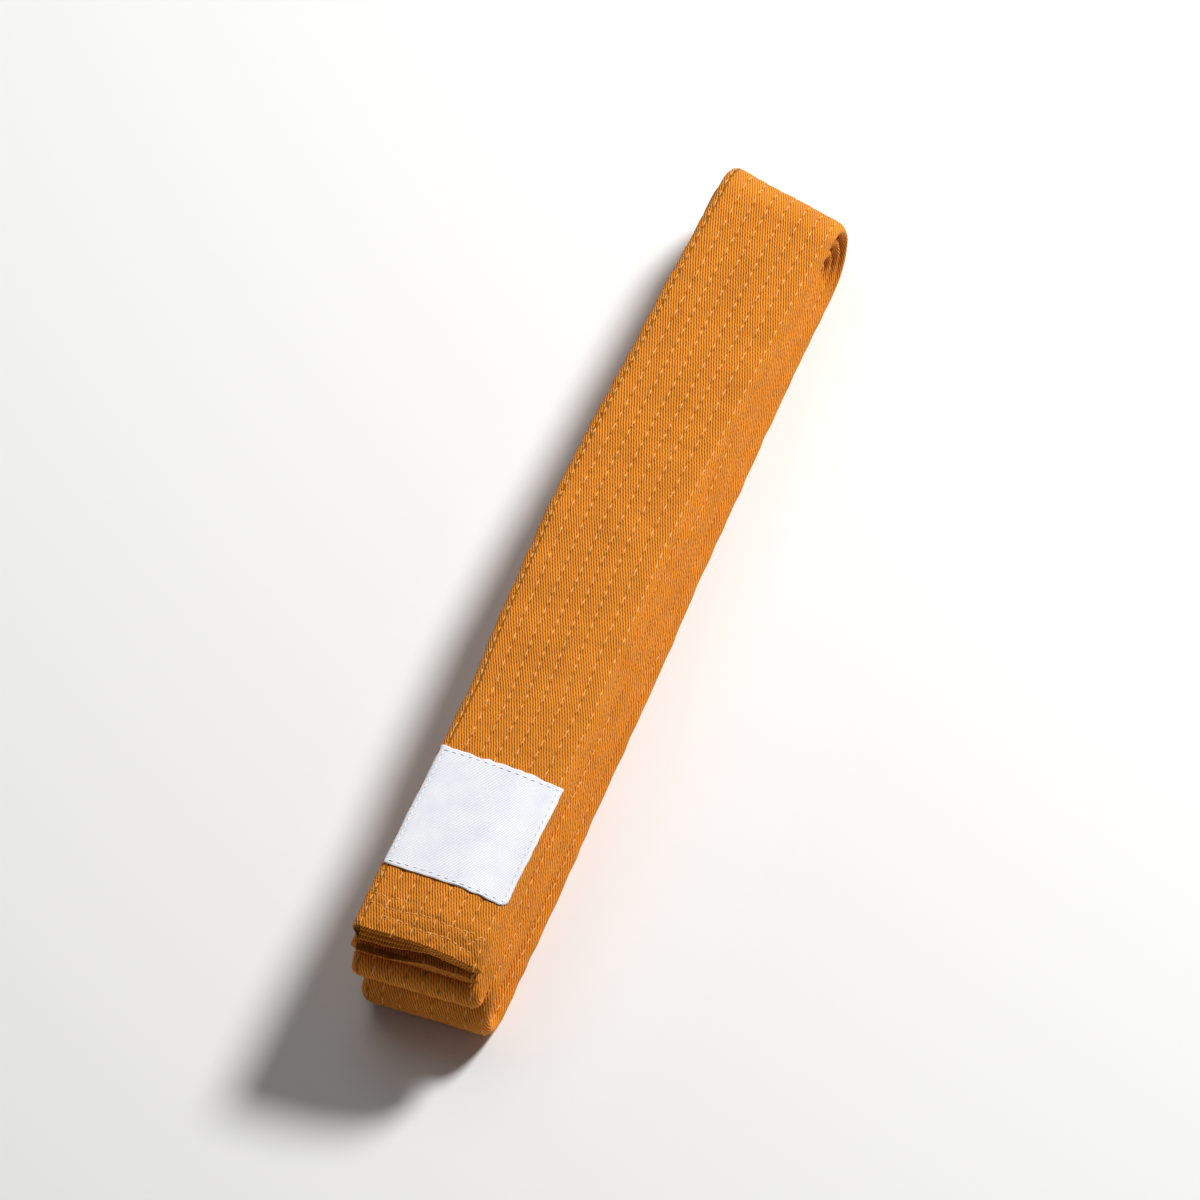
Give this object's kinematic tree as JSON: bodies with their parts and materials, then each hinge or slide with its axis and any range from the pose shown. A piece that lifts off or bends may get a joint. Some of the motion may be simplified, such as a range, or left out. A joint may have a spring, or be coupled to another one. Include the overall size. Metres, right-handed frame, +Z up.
{
  "type": "martial arts belt",
  "caption": "Orange quilted cotton martial arts belt, halved and halved again into a flat stack of layers, with a blank woven label near its hemmed end.",
  "frame": {"origin": "centre of the underside of the folded stack, on the surface it lies on", "axes": "+X along the stack from the belt's two ends to the far folds, +Y across the belt's width, +Z up through the layers"},
  "size_m": [0.299, 0.04, 0.0477],
  "materials": {
    "belt_twill": "matte cotton twill",
    "core_canvas": "raw cotton canvas",
    "belt_thread": "spun polyester thread",
    "label_weave": "woven satin label",
    "label_thread": "white sewing thread"
  },
  "bodies": {
    "lower_half": {"lower_wide_core": "core_canvas", "lower_wide_stitching": "belt_thread", "lower_wide_cover": "belt_twill", "lower_tight_core": "core_canvas", "lower_tight_stitching": "belt_thread", "lower_tight_cover": "belt_twill", "far_fold_outer_core": "core_canvas", "far_fold_outer_stitching": "belt_thread", "far_fold_outer_cover": "belt_twill", "far_fold_second_core": "core_canvas", "far_fold_second_stitching": "belt_thread", "far_fold_second_cover": "belt_twill", "far_fold_third_core": "core_canvas", "far_fold_third_stitching": "belt_thread", "far_fold_third_cover": "belt_twill", "far_fold_inner_core": "core_canvas", "far_fold_inner_stitching": "belt_thread", "far_fold_inner_cover": "belt_twill"},
    "upper_half": {"middle_core": "core_canvas", "middle_stitching": "belt_thread", "middle_cover": "belt_twill", "end_b_root_core": "core_canvas", "end_b_root_stitching": "belt_thread", "end_b_root_cover": "belt_twill", "end_a_root_core": "core_canvas", "end_a_root_stitching": "belt_thread", "end_a_root_cover": "belt_twill"},
    "end_b": {"end_a_bridge_core": "core_canvas", "end_a_bridge_stitching": "belt_thread", "end_a_bridge_cover": "belt_twill", "end_b_cover": "belt_twill", "end_b_core": "core_canvas", "end_b_stitching": "belt_thread", "end_b_hem_stitching": "belt_thread"},
    "end_a": {"end_a_cover": "belt_twill", "end_a_core": "core_canvas", "end_a_stitching": "belt_thread", "end_a_hem_stitching": "belt_thread", "label": "label_weave", "label_stitching": "label_thread"}
  },
  "joints": [
    {"name": "far_fold_opens", "type": "hinge", "parent": "lower_half", "child": "upper_half", "pos_m": [0.1326, 0, 0.0169], "axis": [0, 1, 0], "range_deg": [0, 90], "deforming": ["far_fold_outer_core", "far_fold_outer_stitching", "far_fold_outer_cover", "far_fold_second_core", "far_fold_second_stitching", "far_fold_second_cover", "far_fold_third_core", "far_fold_third_stitching", "far_fold_third_cover", "far_fold_inner_core", "far_fold_inner_stitching", "far_fold_inner_cover"]},
    {"name": "end_b_lifts", "type": "hinge", "parent": "upper_half", "child": "end_b", "pos_m": [0.08852, 0, 0.03633], "axis": [0, 1, 0], "range_deg": [0, 30]},
    {"name": "end_a_lifts", "type": "hinge", "parent": "end_b", "child": "end_a", "pos_m": [0.06155, 0, 0.03768], "axis": [0, 1, 0], "range_deg": [0, 45]}
  ]
}
